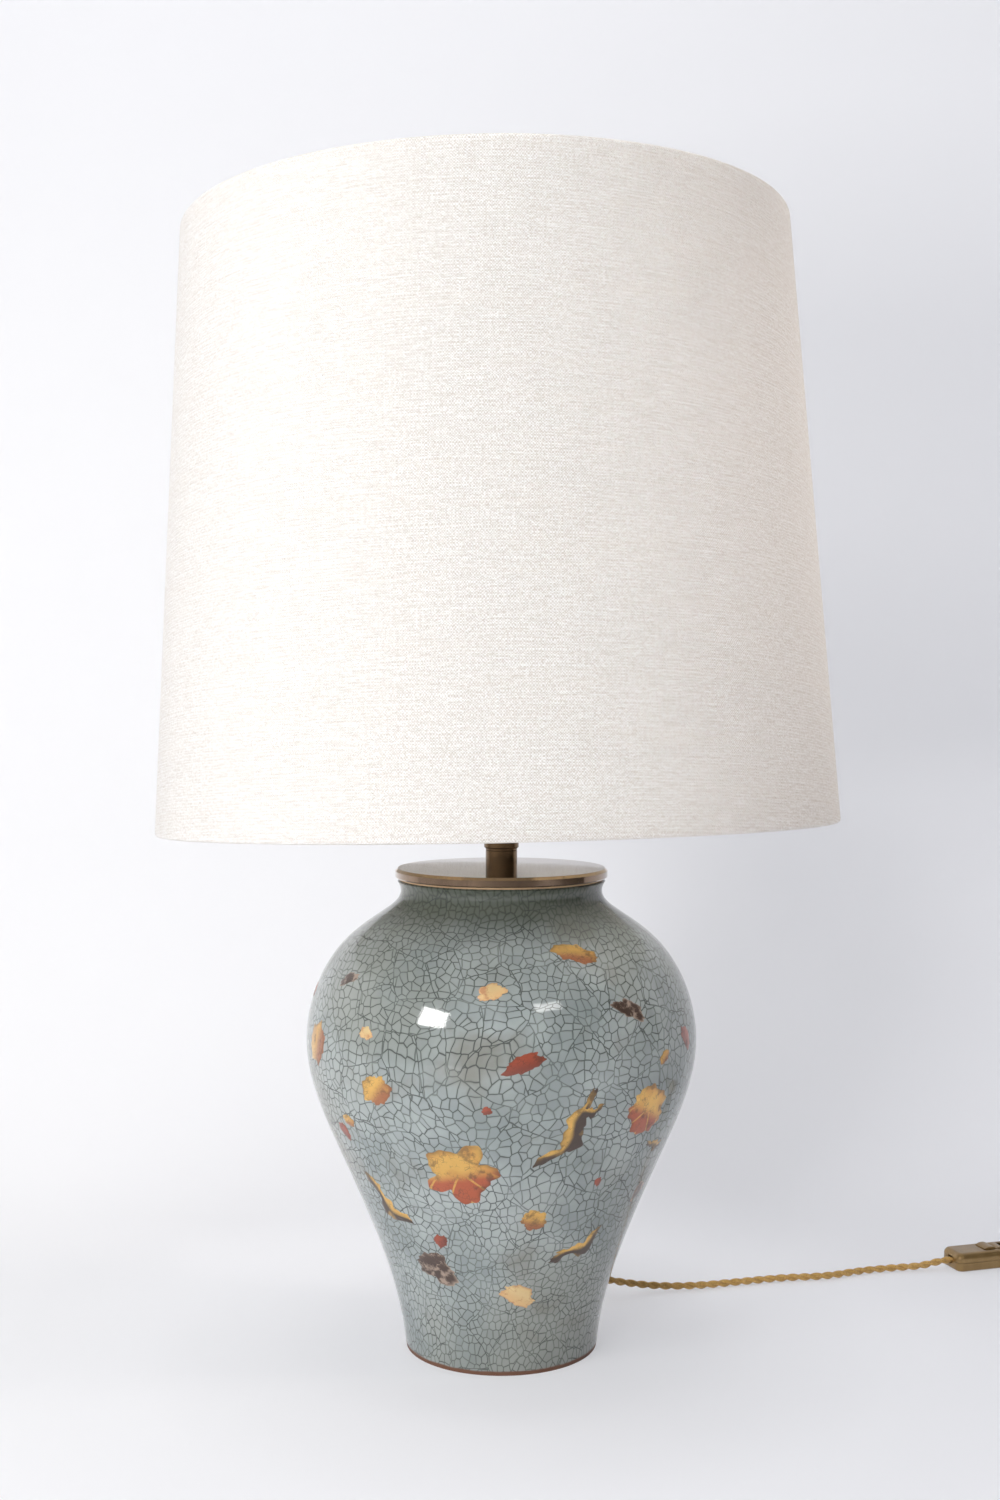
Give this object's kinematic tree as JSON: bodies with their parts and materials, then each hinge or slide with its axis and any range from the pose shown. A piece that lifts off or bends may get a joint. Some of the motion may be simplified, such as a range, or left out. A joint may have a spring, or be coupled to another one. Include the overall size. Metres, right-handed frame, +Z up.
{
  "type": "table lamp",
  "caption": "Table lamp with a crackle-glazed ginger jar base, turned metal cap, tapered linen drum shade, and a corded hand switch and plug.",
  "frame": {"origin": "on the floor at the centre of the jar's foot", "axes": "+Z up, -Y towards the lamp's front, +X towards the side where the cord lies"},
  "size_m": [0.9072, 0.5425, 0.8341],
  "materials": {
    "glaze": "crackle celadon glaze with scattered lacquer and gilt fragments",
    "bush_rubber": "satin black rubber",
    "cork": "cork",
    "bronze": "dark patinated bronze, satin polished",
    "steel": "zinc-plated steel",
    "holder_plastic": "black thermoset",
    "porcelain": "unglazed porcelain",
    "nickel": "nickel-plated brass",
    "contact_brass": "spring brass",
    "solder": "solder",
    "bulb_black": "black vitrite",
    "frosted_glass": "frosted white",
    "linen": "ivory slub linen",
    "liner": "white backing sheet",
    "wire": "white coated wire",
    "cord_fabric": "twisted gold braid",
    "switch_gold": "metallised gold",
    "plug_gold": "gold-tinted plastic"
  },
  "bodies": {
    "base": {"jar": "glaze", "cord_bush": "bush_rubber", "cork_ring": "cork", "cap": "bronze", "neck_tube": "bronze", "neck_collar": "bronze", "clamp_bar": "steel", "clamp_washer": "steel", "clamp_nut": "steel", "threaded_rod": "steel", "holder_dome": "bronze", "holder_barrel": "holder_plastic", "holder_insulator": "porcelain", "holder_socket": "nickel", "holder_contact": "contact_brass", "shade_ring_lower": "holder_plastic", "inner_lead": "cord_fabric", "cord_to_switch": "cord_fabric", "cord_to_coil": "cord_fabric", "cord_coil": "cord_fabric", "cord_to_plug": "cord_fabric", "switch_lower": "switch_gold", "switch_upper": "switch_gold", "switch_pin": "steel", "switch_screws": "steel", "plug_body": "plug_gold", "plug_pins": "nickel"},
    "shade": {"shade_cover": "linen", "shade_liner": "liner", "shade_wire_bottom": "wire", "shade_wire_top": "wire", "shade_fitter": "wire", "shade_arm_1": "wire", "shade_arm_2": "wire", "shade_arm_3": "wire"},
    "upper_ring": {"shade_ring_upper": "holder_plastic"},
    "bulb": {"bulb_tip": "solder", "bulb_insulator": "bulb_black", "bulb_base": "nickel", "bulb_glass": "frosted_glass"},
    "rocker": {"switch_rocker": "switch_gold"}
  },
  "joints": [
    {"name": "shade_turn", "type": "hinge", "parent": "base", "child": "shade", "pos_m": [0, 0, 0.416], "axis": [0, 0, 1], "continuous": true},
    {"name": "ring_turn", "type": "hinge", "parent": "base", "child": "upper_ring", "pos_m": [0, 0, 0.42], "axis": [0, 0, 1], "continuous": true},
    {"name": "bulb_turn", "type": "hinge", "parent": "base", "child": "bulb", "pos_m": [0, 0, 0.416], "axis": [0, 0, 1], "continuous": true},
    {"name": "rocker_tilt", "type": "hinge", "parent": "base", "child": "rocker", "pos_m": [0.41625, 0.18169, 0.0131], "axis": [0.2924, -0.9563, 0], "range_deg": [0, 16]}
  ]
}
